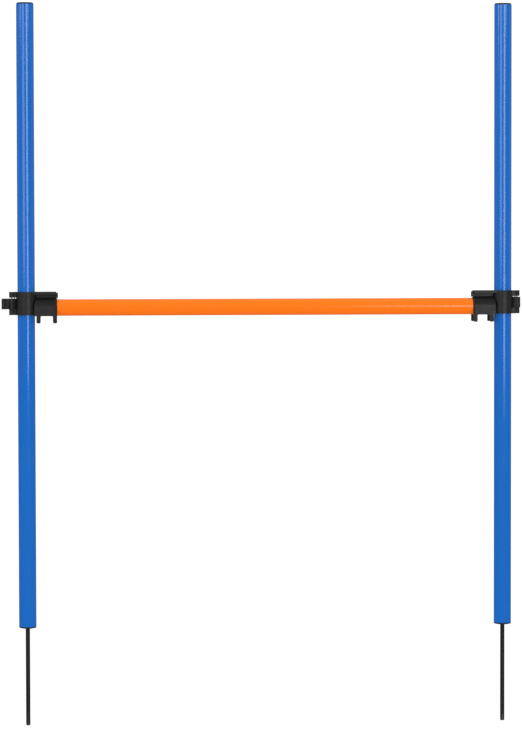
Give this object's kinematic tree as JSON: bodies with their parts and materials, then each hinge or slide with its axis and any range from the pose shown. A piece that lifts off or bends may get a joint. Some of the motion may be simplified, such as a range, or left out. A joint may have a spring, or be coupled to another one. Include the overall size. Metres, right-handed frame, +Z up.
{
  "type": "agility hurdle",
  "caption": "Dog agility hurdle: tall round poles on ground spikes, sliding cam-lock clips, and a round cross bar that snaps into the clips at any height.",
  "frame": {"origin": "on the ground line, midway between the two poles", "axes": "+X along the bar to the right-hand pole, -Y to the front, +Z up the poles"},
  "size_m": [0.7207, 0.0304, 1],
  "materials": {
    "pole_plastic": "glossy extruded tube",
    "bar_plastic": "glossy extruded tube",
    "clip_plastic": "satin moulded",
    "cap_plastic": "satin moulded",
    "spike_paint": "satin black paint",
    "pin_steel": "plain drawn wire"
  },
  "bodies": {
    "uprights": {"left_pole_tube": "pole_plastic", "right_pole_tube": "pole_plastic", "left_pole_top_cap": "cap_plastic", "right_pole_top_cap": "cap_plastic", "left_spike_plug": "cap_plastic", "right_spike_plug": "cap_plastic", "left_ground_spike": "spike_paint", "right_ground_spike": "spike_paint"},
    "left_clip": {"left_clip_body": "clip_plastic", "left_lever_pin": "pin_steel"},
    "right_clip": {"right_clip_body": "clip_plastic", "right_lever_pin": "pin_steel"},
    "left_lever": {"left_cam_lever": "clip_plastic"},
    "right_lever": {"right_cam_lever": "clip_plastic"},
    "cross_bar": {"bar_tube": "bar_plastic", "left_bar_end_cap": "cap_plastic", "right_bar_end_cap": "cap_plastic"}
  },
  "joints": [
    {"name": "left_clip_height", "type": "slide", "parent": "uprights", "child": "left_clip", "axis": [0, 0, 1], "range_m": [-0.39, 0.39]},
    {"name": "right_clip_height", "type": "slide", "parent": "uprights", "child": "right_clip", "axis": [0, 0, 1], "range_m": [-0.39, 0.39]},
    {"name": "left_lever_swing", "type": "hinge", "parent": "left_clip", "child": "left_lever", "pos_m": [-0.351, 0, 0.4508], "axis": [0, 0, 1], "range_deg": [0, 90]},
    {"name": "right_lever_swing", "type": "hinge", "parent": "right_clip", "child": "right_lever", "pos_m": [0.351, 0, 0.4508], "axis": [0, 0, 1], "range_deg": [-90, 0]},
    {"name": "bar_drop", "type": "slide", "parent": "left_clip", "child": "cross_bar", "axis": [0, 0, -1], "range_m": [0, 0.035]}
  ],
  "couplings": [
    {"joint": "right_clip_height", "follows": "left_clip_height", "ratio": 1}
  ]
}
